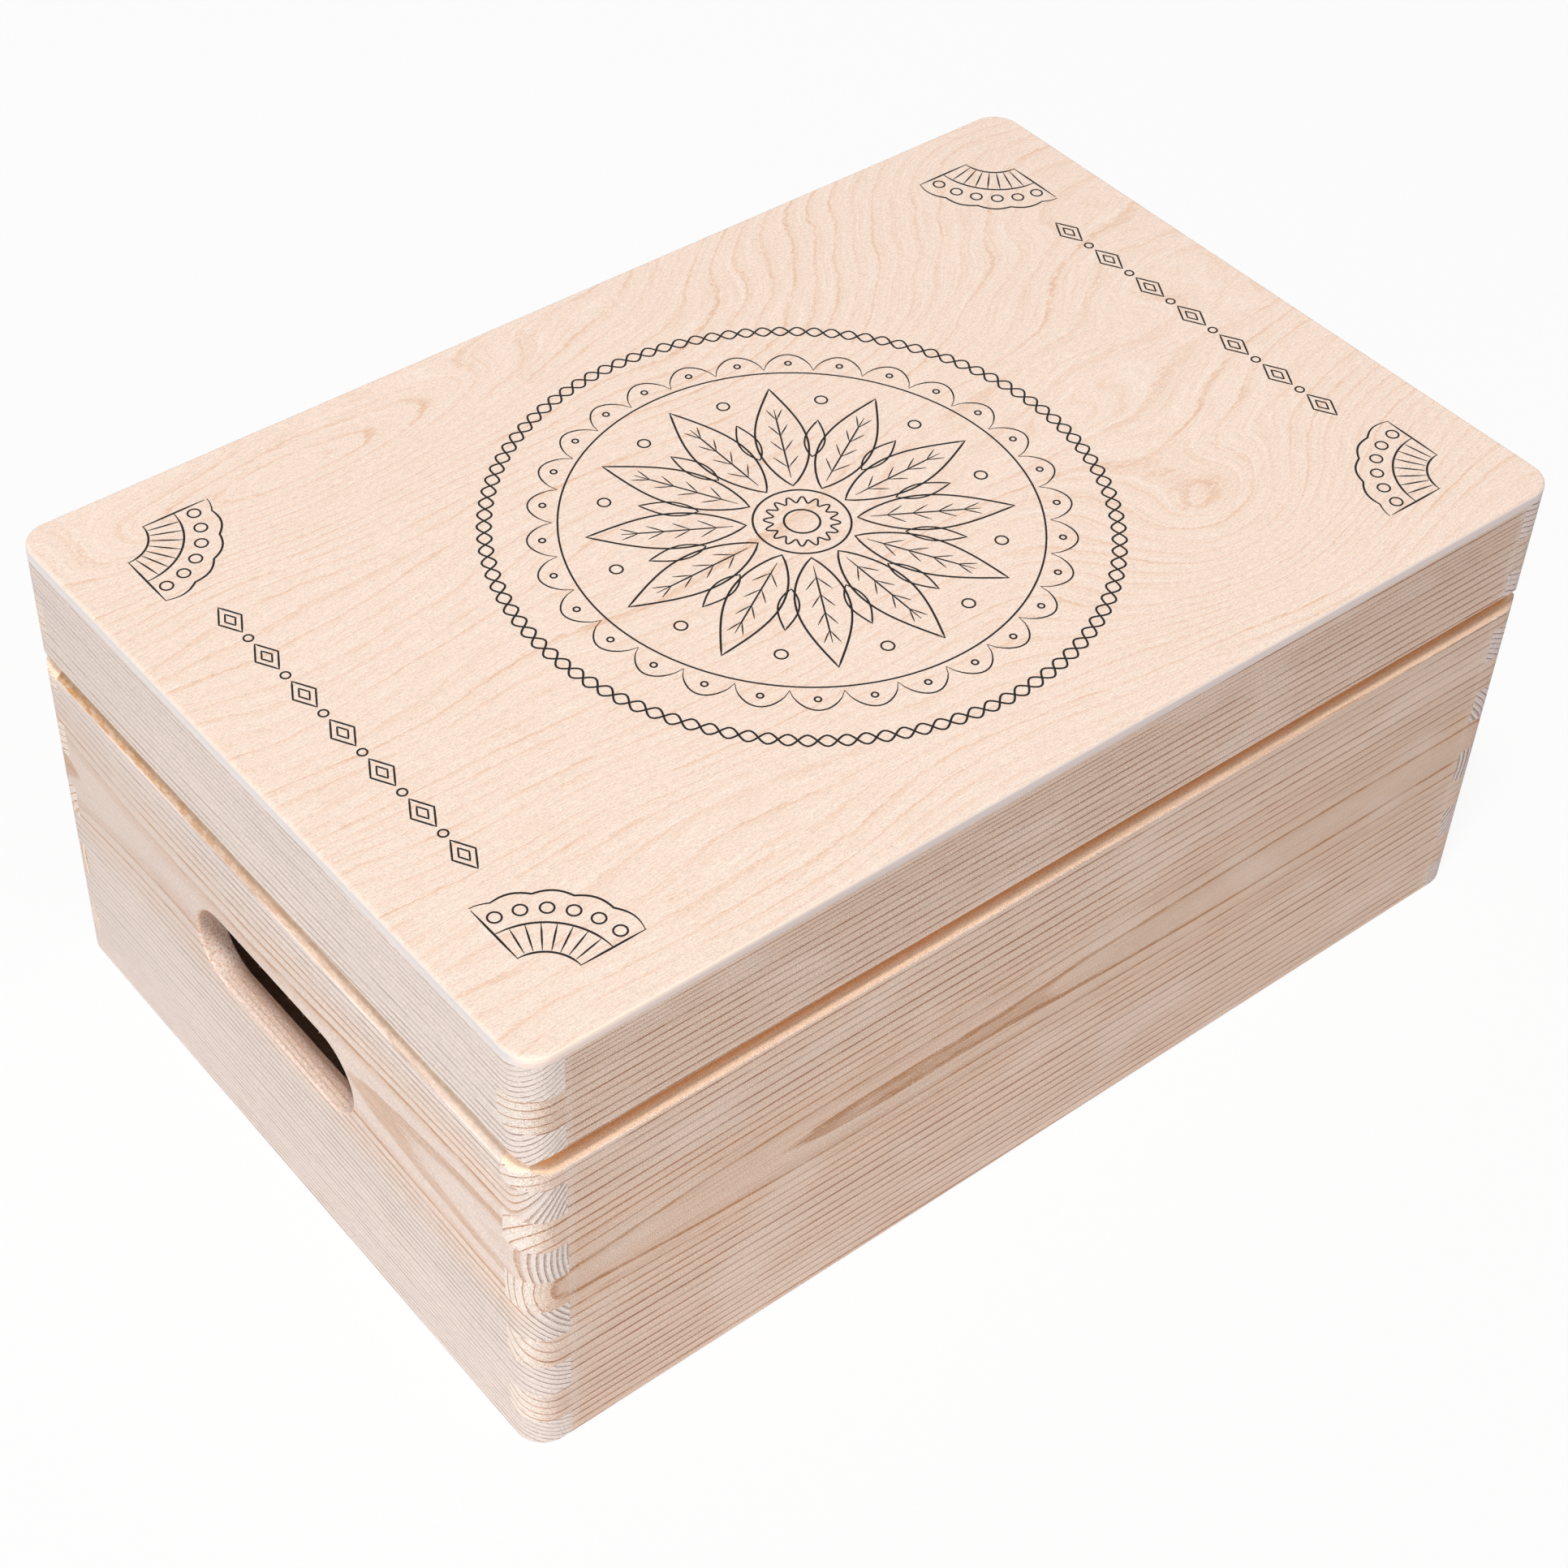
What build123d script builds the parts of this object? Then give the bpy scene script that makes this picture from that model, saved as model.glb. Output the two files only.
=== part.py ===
from build123d import *
import math
import os

# Pine box with a hinged lid, for papers and keepsakes. All sizes are in millimetres.
# X runs along the front, Y from the front to the back, Z up. The origin is the middle of
# the underside. The joint's angle is zero with the lid closed.

# Outside of the closed box
box_length = 300.0
box_width = 198.0
body_height = 98.5
lid_rim_height = 31.2
seam_gap = 0.2

# Boards and panels
side_board_thickness = 9.5
end_board_thickness = 10.0
lid_panel_thickness = 3.2
bottom_panel_thickness = 3.0
bottom_rebate_width = 5.0
bottom_panel_clearance = 0.2

# Rounding and the V groove that runs round the seam
corner_radius = 7.5
panel_edge_radius = 1.0
foot_edge_radius = 0.6
groove_depth = 3.1

# Finger joints, counted down from the top edge of the rim and of the body
finger_height = 10.3
first_body_finger = 7.6
smallest_finger = 3.0

# Hand hole in each end board, a little behind the middle. Behind its land it flares inwards.
hand_hole_length = 67.0
hand_hole_height = 25.0
hand_hole_below_rim = 39.6
hand_hole_behind_middle = 1.0
hand_hole_lip_radius = 1.0
hand_hole_land = 6.0
hand_hole_flare = 8.0

# Butt hinges let into the back rims
hinge_length = 25.0
hinge_inset = 58.0
leaf_thickness = 0.9
leaf_edge_inset = 0.3
knuckle_radius = 1.6
knuckle_clearance = 0.2
pin_radius = 0.8
pin_running_clearance = 0.05
pin_overhang = 0.3
pin_inset = 2.4
mortise_clearance = 0.1
knuckle_seat_clearance = 0.25

# Countersunk wood screws, two in each leaf
screw_spacing = 15.0
screw_from_leaf_edge = 2.7
screw_head_radius = 1.75
screw_shank_radius = 0.95
screw_head_height = 0.8
screw_shank_length = 5.6
screw_tip_length = 1.6
screw_tip_radius = 0.15
screw_slot_width = 0.45
screw_slot_depth = 0.3
pilot_clearance = 0.05

# Heights and places that follow from the sizes above
lid_bottom = body_height + seam_gap
lid_rim_top = lid_bottom + lid_rim_height
seam_height = body_height + seam_gap / 2
hinge_y = box_width / 2 - pin_inset
leaf_inner_y = box_width / 2 - side_board_thickness + leaf_edge_inset
screw_y = leaf_inner_y + screw_from_leaf_edge
hand_hole_height_above_table = body_height - hand_hole_below_rim
hinge_places = {"left": -box_length / 2 + hinge_inset, "right": box_length / 2 - hinge_inset}

os.makedirs("parts", exist_ok=True)


def save(name, builder):
    """Label a finished piece and write it out under its own name."""
    builder.part.label = name
    export_step(builder.part, f"parts/{name}.step")


def finger_rows(bottom, top, first_height, first_owner):
    """Rows of the finger joint from the top down: low edge, high edge, and whose finger it is."""
    rows = []
    high = top
    height = first_height
    owner = first_owner
    while high > bottom:
        low = high - height
        if low - bottom < smallest_finger:
            low = bottom
        rows.append((low, high, owner))
        owner = "end" if owner == "side" else "side"
        height = finger_height
        high = low
    return rows


body_rows = finger_rows(0, body_height, first_body_finger, "side")
lid_rows = finger_rows(lid_bottom, lid_rim_top, finger_height, "end")


# The outside form of the glued-up carcass, sanded round at the upright corners. The groove
# is a 45 degree slope planed off each rim before the corners are rounded.
with BuildPart() as body_block:
    with BuildSketch():
        Rectangle(box_length, box_width)
    extrude(amount=body_height - groove_depth)
    with BuildSketch(Plane.XY.offset(body_height - groove_depth)):
        Rectangle(box_length, box_width)
    extrude(amount=groove_depth, taper=45)

with BuildPart() as body_form:
    with BuildSketch():
        RectangleRounded(box_length, box_width, corner_radius)
    extrude(amount=body_height)
    fillet(body_form.edges().group_by(Axis.Z)[0], radius=foot_edge_radius)
    add(body_block.part, mode=Mode.INTERSECT)

with BuildPart() as lid_block:
    with BuildSketch(Plane.XY.offset(lid_rim_top)):
        Rectangle(box_length, box_width)
    extrude(amount=-(lid_rim_height - groove_depth))
    with BuildSketch(Plane((0, 0, lid_bottom + groove_depth), z_dir=(0, 0, -1))):
        Rectangle(box_length, box_width)
    extrude(amount=groove_depth, taper=45)

with BuildPart() as lid_form:
    with BuildSketch(Plane.XY.offset(lid_bottom)):
        RectangleRounded(box_length, box_width, corner_radius)
    extrude(amount=lid_rim_height)
    add(lid_block.part, mode=Mode.INTERSECT)

# The rebate under the body that takes the bottom panel
rebate_length = box_length - 2 * end_board_thickness + 2 * bottom_rebate_width
rebate_width = box_width - 2 * side_board_thickness + 2 * bottom_rebate_width
with BuildPart() as bottom_rebate:
    with BuildSketch():
        Rectangle(rebate_length, rebate_width)
    extrude(amount=bottom_panel_thickness)


def long_board(facing, rows, form):
    """A front (facing -1) or back (facing 1) board with its fingers, cut to the outside form."""
    bottom = rows[-1][0]
    top = rows[0][1]
    end_middle = (box_length - end_board_thickness) / 2
    with BuildPart() as board:
        with BuildSketch(Plane.XZ.offset(-facing * (box_width / 2 - side_board_thickness))):
            with Locations((0, (bottom + top) / 2)):
                Rectangle(box_length, top - bottom)
            for low, high, owner in rows:
                if owner == "end":
                    with Locations((-end_middle, (low + high) / 2), (end_middle, (low + high) / 2)):
                        Rectangle(end_board_thickness, high - low, mode=Mode.SUBTRACT)
        extrude(amount=-facing * side_board_thickness)
        add(form.part, mode=Mode.INTERSECT)
    return board.part


def short_board(facing, rows, form):
    """A left (facing -1) or right (facing 1) board with its fingers, cut to the outside form."""
    bottom = rows[-1][0]
    top = rows[0][1]
    side_middle = (box_width - side_board_thickness) / 2
    with BuildPart() as board:
        with BuildSketch(Plane.YZ.offset(facing * (box_length / 2 - end_board_thickness))):
            with Locations((0, (bottom + top) / 2)):
                Rectangle(box_width, top - bottom)
            for low, high, owner in rows:
                if owner == "side":
                    with Locations((-side_middle, (low + high) / 2), (side_middle, (low + high) / 2)):
                        Rectangle(side_board_thickness, high - low, mode=Mode.SUBTRACT)
        extrude(amount=facing * end_board_thickness)
        add(form.part, mode=Mode.INTERSECT)
    return board.part


def hand_hole(facing):
    """The space of a hand hole: a straight slot, rounded at the outer lip, flared inside."""
    slot_length = hand_hole_length - 2 * hand_hole_lip_radius
    slot_height = hand_hole_height - 2 * hand_hole_lip_radius
    outer_x = facing * box_length / 2
    land_x = facing * (box_length / 2 - hand_hole_lip_radius - hand_hole_land)
    inner_x = facing * (box_length / 2 - end_board_thickness)
    middle = (hand_hole_behind_middle, hand_hole_height_above_table)
    with BuildPart() as hole:
        with BuildSketch(Plane.YZ.offset(outer_x)):
            with Locations(middle):
                SlotOverall(slot_length, slot_height)
        extrude(amount=-facing * end_board_thickness)
        with BuildSketch(Plane.YZ.offset(land_x)):
            with Locations(middle):
                SlotOverall(slot_length, slot_height)
        with BuildSketch(Plane.YZ.offset(inner_x)):
            with Locations(middle):
                SlotOverall(slot_length + 2 * hand_hole_flare, slot_height + 2 * hand_hole_flare)
        loft()
    return hole.part


def screw_places(hinge_x, side):
    """Where each screw's head lies, with its local Z pointing out of the leaf at the seam."""
    rim = seam_height + side * seam_gap / 2
    places = []
    for step in (-0.5, 0.5):
        place = Plane((hinge_x + step * screw_spacing, screw_y, rim), x_dir=(1, 0, 0), z_dir=(0, 0, -side))
        places.append(place.location)
    return places


def hinge_mortise(hinge_x, side):
    """The space that a leaf and the knuckles need in the body (side -1) or the lid (side 1)."""
    rim = seam_height + side * seam_gap / 2
    depth = hinge_y - (box_width / 2 - side_board_thickness)
    seat_length = hinge_length + 2 * (pin_overhang + mortise_clearance)
    with BuildPart() as mortise:
        with Locations((hinge_x, hinge_y - depth / 2, rim + side * leaf_thickness / 2)):
            Box(hinge_length + 2 * mortise_clearance, depth, leaf_thickness)
        with Locations(Location((hinge_x, hinge_y, seam_height), (0, 90, 0))):
            Cylinder(knuckle_radius + knuckle_seat_clearance, seat_length)
        for place in screw_places(hinge_x, side):
            with Locations(place):
                Cylinder(
                    screw_shank_radius + pilot_clearance,
                    screw_head_height + screw_shank_length + screw_tip_length,
                    align=(Align.CENTER, Align.CENTER, Align.MAX),
                )
    return mortise.part


# Body: four boards, finger jointed and glued
with BuildPart() as front_board:
    add(long_board(-1, body_rows, body_form))
    add(bottom_rebate.part, mode=Mode.SUBTRACT)
save("front_board", front_board)

with BuildPart() as back_board:
    add(long_board(1, body_rows, body_form))
    add(bottom_rebate.part, mode=Mode.SUBTRACT)
    for hinge_x in hinge_places.values():
        add(hinge_mortise(hinge_x, -1), mode=Mode.SUBTRACT)
save("back_board", back_board)

for name, facing in (("left_board", -1), ("right_board", 1)):
    with BuildPart() as end_board:
        add(short_board(facing, body_rows, body_form))
        add(bottom_rebate.part, mode=Mode.SUBTRACT)
        add(hand_hole(facing), mode=Mode.SUBTRACT)
        hole_rim = end_board.faces().sort_by(Axis.X)[-1 if facing > 0 else 0].inner_wires()[0]
        fillet(hole_rim.edges(), radius=hand_hole_lip_radius)
    save(name, end_board)

# Thin plywood bottom, glued into the rebate and flush with the underside
with BuildPart() as bottom_panel:
    with BuildSketch():
        Rectangle(rebate_length - 2 * bottom_panel_clearance, rebate_width - 2 * bottom_panel_clearance)
    extrude(amount=bottom_panel_thickness)
save("bottom_panel", bottom_panel)

# Lid rim: the upper strip of the same four boards
with BuildPart() as lid_front_rail:
    add(long_board(-1, lid_rows, lid_form))
save("lid_front_rail", lid_front_rail)

with BuildPart() as lid_back_rail:
    add(long_board(1, lid_rows, lid_form))
    for hinge_x in hinge_places.values():
        add(hinge_mortise(hinge_x, 1), mode=Mode.SUBTRACT)
save("lid_back_rail", lid_back_rail)

for name, facing in (("lid_left_rail", -1), ("lid_right_rail", 1)):
    with BuildPart() as end_rail:
        add(short_board(facing, lid_rows, lid_form))
    save(name, end_rail)

# Plywood lid panel, glued on top of the rim, flush all round, with its upper edge eased
with BuildPart() as lid_panel:
    with BuildSketch(Plane.XY.offset(lid_rim_top)):
        RectangleRounded(box_length, box_width, corner_radius)
    extrude(amount=lid_panel_thickness)
    fillet(lid_panel.edges().group_by(Axis.Z)[-1], radius=panel_edge_radius)
save("lid_panel", lid_panel)


def leaf(hinge_x, side):
    """A hinge leaf: side -1 has the two outer knuckles and holds the pin, side 1 the middle one."""
    rim = seam_height + side * seam_gap / 2
    knuckle_length = (hinge_length - 2 * knuckle_clearance) / 3
    outer_offset = (hinge_length - knuckle_length) / 2
    own = (-outer_offset, outer_offset) if side < 0 else (0,)
    other = (0,) if side < 0 else (-outer_offset, outer_offset)
    bore_radius = pin_radius if side < 0 else pin_radius + pin_running_clearance
    with BuildPart() as plate:
        with Locations((hinge_x, (leaf_inner_y + hinge_y) / 2, rim + side * leaf_thickness / 2)):
            Box(hinge_length, hinge_y - leaf_inner_y, leaf_thickness)
        for offset_x in other:
            with Locations(Location((hinge_x + offset_x, hinge_y, seam_height), (0, 90, 0))):
                Cylinder(
                    knuckle_radius + knuckle_clearance,
                    knuckle_length + 2 * knuckle_clearance,
                    mode=Mode.SUBTRACT,
                )
        for offset_x in own:
            with Locations(Location((hinge_x + offset_x, hinge_y, seam_height), (0, 90, 0))):
                Cylinder(knuckle_radius, knuckle_length)
        with Locations(Location((hinge_x, hinge_y, seam_height), (0, 90, 0))):
            Cylinder(bore_radius, hinge_length, mode=Mode.SUBTRACT)
        for place in screw_places(hinge_x, side):
            with Locations(place):
                Cone(
                    screw_shank_radius,
                    screw_head_radius,
                    screw_head_height,
                    align=(Align.CENTER, Align.CENTER, Align.MAX),
                    mode=Mode.SUBTRACT,
                )
                Cylinder(screw_shank_radius, 2 * leaf_thickness, mode=Mode.SUBTRACT)
    return plate


def screws(hinge_x, side):
    """The two countersunk screws of one leaf, heads flush with it and slotted."""
    with BuildPart() as pair:
        for place in screw_places(hinge_x, side):
            with Locations(place):
                Cone(
                    screw_shank_radius,
                    screw_head_radius,
                    screw_head_height,
                    align=(Align.CENTER, Align.CENTER, Align.MAX),
                )
                with Locations((0, 0, -screw_head_height)):
                    Cylinder(
                        screw_shank_radius,
                        screw_shank_length,
                        align=(Align.CENTER, Align.CENTER, Align.MAX),
                    )
                with Locations((0, 0, -screw_head_height - screw_shank_length)):
                    Cone(
                        screw_tip_radius,
                        screw_shank_radius,
                        screw_tip_length,
                        align=(Align.CENTER, Align.CENTER, Align.MAX),
                    )
                Box(
                    2 * screw_head_radius,
                    screw_slot_width,
                    screw_slot_depth,
                    align=(Align.CENTER, Align.CENTER, Align.MAX),
                    mode=Mode.SUBTRACT,
                )
    return pair


# Two small butt hinges, each with its own pin and screws
for side_name, hinge_x in hinge_places.items():
    save(f"{side_name}_hinge_body_leaf", leaf(hinge_x, -1))
    save(f"{side_name}_hinge_lid_leaf", leaf(hinge_x, 1))
    with BuildPart() as pin:
        with Locations(Location((hinge_x, hinge_y, seam_height), (0, 90, 0))):
            Cylinder(pin_radius, hinge_length + 2 * pin_overhang)
        chamfer(pin.edges().filter_by(GeomType.CIRCLE), length=pin_overhang / 2)
    save(f"{side_name}_hinge_pin", pin)
    save(f"{side_name}_hinge_body_screws", screws(hinge_x, -1))
    save(f"{side_name}_hinge_lid_screws", screws(hinge_x, 1))

widest_opening = 2 * math.degrees(math.atan2(groove_depth, pin_inset))
print(f"the groove lets the lid open to {widest_opening:.1f} degrees")
print(f"closed height {lid_rim_top + lid_panel_thickness:.1f}")
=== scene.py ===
import itertools
import math
from types import SimpleNamespace

import bmesh
import bpy
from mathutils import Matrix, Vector


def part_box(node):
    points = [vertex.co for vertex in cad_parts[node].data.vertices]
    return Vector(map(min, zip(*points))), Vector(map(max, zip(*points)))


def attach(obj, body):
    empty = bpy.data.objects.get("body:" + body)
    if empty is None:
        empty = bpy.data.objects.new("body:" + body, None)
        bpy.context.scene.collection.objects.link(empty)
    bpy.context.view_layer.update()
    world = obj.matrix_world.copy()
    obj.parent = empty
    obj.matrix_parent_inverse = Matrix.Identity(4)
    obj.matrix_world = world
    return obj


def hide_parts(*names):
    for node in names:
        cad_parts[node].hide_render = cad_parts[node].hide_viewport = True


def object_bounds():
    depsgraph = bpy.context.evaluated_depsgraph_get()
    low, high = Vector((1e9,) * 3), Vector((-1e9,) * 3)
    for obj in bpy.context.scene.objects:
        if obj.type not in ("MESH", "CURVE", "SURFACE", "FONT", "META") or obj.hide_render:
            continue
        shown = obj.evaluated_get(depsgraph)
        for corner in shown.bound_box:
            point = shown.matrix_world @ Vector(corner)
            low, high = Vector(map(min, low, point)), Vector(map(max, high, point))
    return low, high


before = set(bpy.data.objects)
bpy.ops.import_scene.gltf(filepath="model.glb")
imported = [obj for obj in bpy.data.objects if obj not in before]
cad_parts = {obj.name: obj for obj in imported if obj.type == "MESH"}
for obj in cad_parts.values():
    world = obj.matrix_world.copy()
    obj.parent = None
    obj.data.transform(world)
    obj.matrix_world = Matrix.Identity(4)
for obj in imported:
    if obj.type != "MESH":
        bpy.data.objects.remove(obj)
cad_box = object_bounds()

# Front and back boards
# Raw pine, flat sawn, with the grain along the box. The planed boards are finger jointed to
# the ends and glued. A sander then takes the sharpness off every edge.
MM = 1000.0
END_BOARD_FACE = cad_box[1].x * MM
LONG_BOARD_FACE = cad_box[1].y * MM
BODY_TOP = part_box("front_board")[1].z * MM
SEAM = (BODY_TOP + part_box("lid_front_rail")[0].z * MM) / 2
GROOVE = 3.1
CORNER = 7.5

# How far from the middle of a long board the finger joint has frayed its face
FRAYED_STRIP = 139.2

# Heights between which the grain and the painted shade of the body go over into those of the lid
GRAIN_ON_LID = (95.0, 103.0)
SHADE_ON_LID = (84.0, 104.0)

# Where in its year the late wood ends, and the radius of the outermost ring
YEAR_END = 0.95
OUTERMOST_RING = 140.0

# Raised fibres lean forty degrees up from the board's run
RAISED_FIBRE_RUN = 0.77
RAISED_FIBRE_CLIMB = 0.64

# How far the sander rounds an edge, and the angles at which one is flat, sharp or a crease
BOARD_EASE = 0.00012
SAME_POINT = 0.000001
FLAT = math.radians(1.0)
SHARP = math.radians(28.0)
CREASE = math.radians(50.0)

# Colours that the wood of all four boards takes on where it is worn or cut, and the paler torn
# fibre ends, painted up as a highlight
BLEACHED = (0.87, 0.735, 0.65)
RUBBED = (0.95, 0.80, 0.65)
CUT_ACROSS = (0.97, 0.82, 0.66)
SPARK = (1.0, 0.95, 0.91)


class Wire:
    """One output of a shader node. Arithmetic on it adds the Math nodes that work it out."""

    def __init__(self, tree, socket=None):
        self.tree = tree
        self.socket = socket

    def node(self, kind, settings=None, inputs=None, output=0):
        """Any other node: its settings come first, then the values or links of its sockets."""
        made = self.tree.nodes.new(kind)
        for name, value in (settings or {}).items():
            if name == "between":
                made.color_ramp.interpolation = value
            elif name == "stops":
                ramp = made.color_ramp
                while len(ramp.elements) < len(value):
                    ramp.elements.new(1.0)
                for element, (place, colour) in zip(ramp.elements, value):
                    element.position = place
                    element.color = (*colour, 1.0)
            else:
                setattr(made, name, value)
        for name, value in (inputs or {}).items():
            if isinstance(value, Wire):
                self.tree.links.new(value.socket, made.inputs[name])
            else:
                made.inputs[name].default_value = value
        return Wire(self.tree, made.outputs[output])

    def math(self, operation, *values):
        return self.node("ShaderNodeMath", {"operation": operation}, dict(enumerate(values)))

    def __add__(self, other):
        return self.math("ADD", self, other)

    def __radd__(self, other):
        return self.math("ADD", other, self)

    def __sub__(self, other):
        return self.math("SUBTRACT", self, other)

    def __rsub__(self, other):
        return self.math("SUBTRACT", other, self)

    def __mul__(self, other):
        return self.math("MULTIPLY", self, other)

    def __rmul__(self, other):
        return self.math("MULTIPLY", other, self)

    def __truediv__(self, other):
        return self.math("DIVIDE", self, other)

    def __pow__(self, other):
        return self.math("POWER", self, other)

    def __abs__(self):
        return self.math("ABSOLUTE", self)

    def rise(self, start, end):
        """0 below start, 1 above end, and a smooth step between them."""
        return self.node(
            "ShaderNodeMapRange",
            {"interpolation_type": "SMOOTHSTEP"},
            {"Value": self, "From Min": start, "From Max": end},
        )


def at(root, x, y, z):
    """The three lengths as one vector."""
    return root.node("ShaderNodeCombineXYZ", inputs={"X": x, "Y": y, "Z": z})


def cloud(place, size, shift=(0.0, 0.0, 0.0), detail=2.0, roughness=0.5):
    """Soft noise round 0.5 whose features are about size wide. shift moves to another stretch."""
    scaled = place.node(
        "ShaderNodeVectorMath",
        {"operation": "MULTIPLY_ADD"},
        {0: place, 1: [1 / width for width in size], 2: shift},
    )
    return place.node(
        "ShaderNodeTexNoise",
        {"noise_dimensions": "3D"},
        {"Vector": scaled, "Scale": 1.0, "Detail": detail, "Roughness": roughness},
    )


def chance(value):
    """A number from 0 to 1 that is the same for the same value."""
    return value.node("ShaderNodeTexWhiteNoise", {"noise_dimensions": "1D"}, {"W": value})


def curve(value, low, high, points, between="LINEAR"):
    """A curve drawn through points of (place, height), which lie within 60 of zero."""
    reach = 60.0
    stops = [((place - low) / (high - low), [0.5 + h / (2 * reach)] * 3) for place, h in points]
    drawn = value.node(
        "ShaderNodeValToRGB",
        {"stops": stops, "between": between},
        {0: (value - low) / (high - low)},
    )
    return (drawn - 0.5) * (2 * reach)


def blend(root, factor, first, second, kind="MIX"):
    """first where factor is 0 and second where it is 1. Each is a colour or a Wire."""
    first, second = (c if isinstance(c, Wire) else (*c, 1.0) for c in (first, second))
    return root.node(
        "ShaderNodeMix",
        {"data_type": "RGBA", "blend_type": kind},
        {0: factor, 6: first, 7: second},
        output=2,
    )


def shaded(colour, amount):
    """The colour made darker or lighter by amount, which is 1 for no change."""
    return colour.node("ShaderNodeVectorMath", {"operation": "SCALE"}, {0: colour, "Scale": amount})


def object_place(root):
    """The point's place in the row frame at rest, in millimetres, as x, y and z."""
    point = root.node("ShaderNodeTexCoord", output="Object")
    return [root.node("ShaderNodeSeparateXYZ", inputs={0: point}, output=n) * MM for n in "XYZ"]


def facing(root, axis):
    """How squarely the surface faces along the axis, from 0 to 1."""
    normal = root.node("ShaderNodeTexCoord", output="Normal")
    return abs(root.node("ShaderNodeSeparateXYZ", inputs={0: normal}, output=axis))


def finish_of(name):
    """A new material: its root wire and its shader, which the caller fills in."""
    made = bpy.data.materials.new(name)
    made.use_nodes = True
    shader = made.node_tree.nodes["Principled BSDF"]
    return made, Wire(made.node_tree), shader


def connect(value, node, socket):
    value.tree.links.new(value.socket, node.inputs[socket])


def emboss(shader, height, strength, depth):
    """Raises the surface by height, where 1 stands for depth in metres."""
    relief = {"Strength": strength, "Distance": depth, "Height": height}
    connect(height.node("ShaderNodeBump", inputs=relief), shader, "Normal")


def board_point(root, grain, seed, fade):
    """The shaded point as its board has it, in millimetres, and the fibres that lie there."""
    x, y, z = object_place(root)
    along, across = (x, y) if grain == "x" else (y, x)
    face, half_length = LONG_BOARD_FACE, END_BOARD_FACE
    if grain == "y":
        face, half_length = half_length, face
    depth = face - abs(across)
    inset = [root.math("MAXIMUM", CORNER - d, 0.0) for d in (depth, half_length - abs(along))]
    place = at(root, along, across, z)
    beside, above = (0.0, seed, 0.0), (0.0, 0.0, seed)
    fade_start, fade_end, fade_loss = fade
    return SimpleNamespace(
        root=root,
        seed=seed,
        along=along,
        across=across,
        z=z,
        place=place,
        beside=beside,
        above=above,
        half_length=half_length,
        depth=depth,
        skin=CORNER - root.math("SQRT", inset[0] * inset[0] + inset[1] * inset[1]),
        run=(along + half_length) / (2 * half_length),
        lively=1 - along.rise(fade_start, fade_end) * fade_loss * (1 - 0.7 * z.rise(*GRAIN_ON_LID)),
        end=facing(root, grain.upper()).rise(0.15, 0.95),
        fibre=cloud(place, (6.0, 0.22, 0.22), beside, detail=3.0, roughness=0.65),
        streak=cloud(place, (11.0, 0.7, 0.7), beside, roughness=0.75),
        brush=cloud(place, (16.0, 0.34, 0.34), beside, roughness=0.6),
        grit=cloud(place, (0.24, 0.19, 0.19), detail=1.0, roughness=0.6) - 0.5,
        speck=cloud(place, (0.36, 0.22, 0.22), above, roughness=0.9),
        mood=cloud(place, (60.0, 30.0, 13.0), beside),
    )


def year_rings(point, heart, growth):
    """The rings round the heart, whose path beside the board draws the flames on its face."""
    root = point.root
    heart_depth = curve(point.along, -point.half_length, point.half_length, heart["path"], "CARDINAL")
    side = heart_depth - point.depth
    height = point.z - heart["height"] - point.along * heart["slope"]
    drift = cloud(point.place, (55.0, 9.0, 9.0), point.beside, detail=1.0) - 0.5
    jag = cloud(point.place, (1.8, 0.5, 0.5), point.above, roughness=0.7) - 0.5
    radius = root.math("SQRT", side * side + height * height) + drift * 0.34 + jag * 0.17
    turns = curve(radius, 0.0, OUTERMOST_RING, growth["years"])
    tip, width = growth["tip"], growth["width"]
    return SimpleNamespace(
        radius=radius,
        height=height,
        turns=turns,
        width=width,
        part=root.math("FRACT", turns),
        year=chance(root.math("FLOOR", turns) + point.seed),
        grazed=1 - radius.rise(tip + 0.05 * width, tip + 1.5 * width),
        near_heart=1 - radius.rise(tip + 1.5 * width, tip + 7.0 * width),
    )


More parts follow.
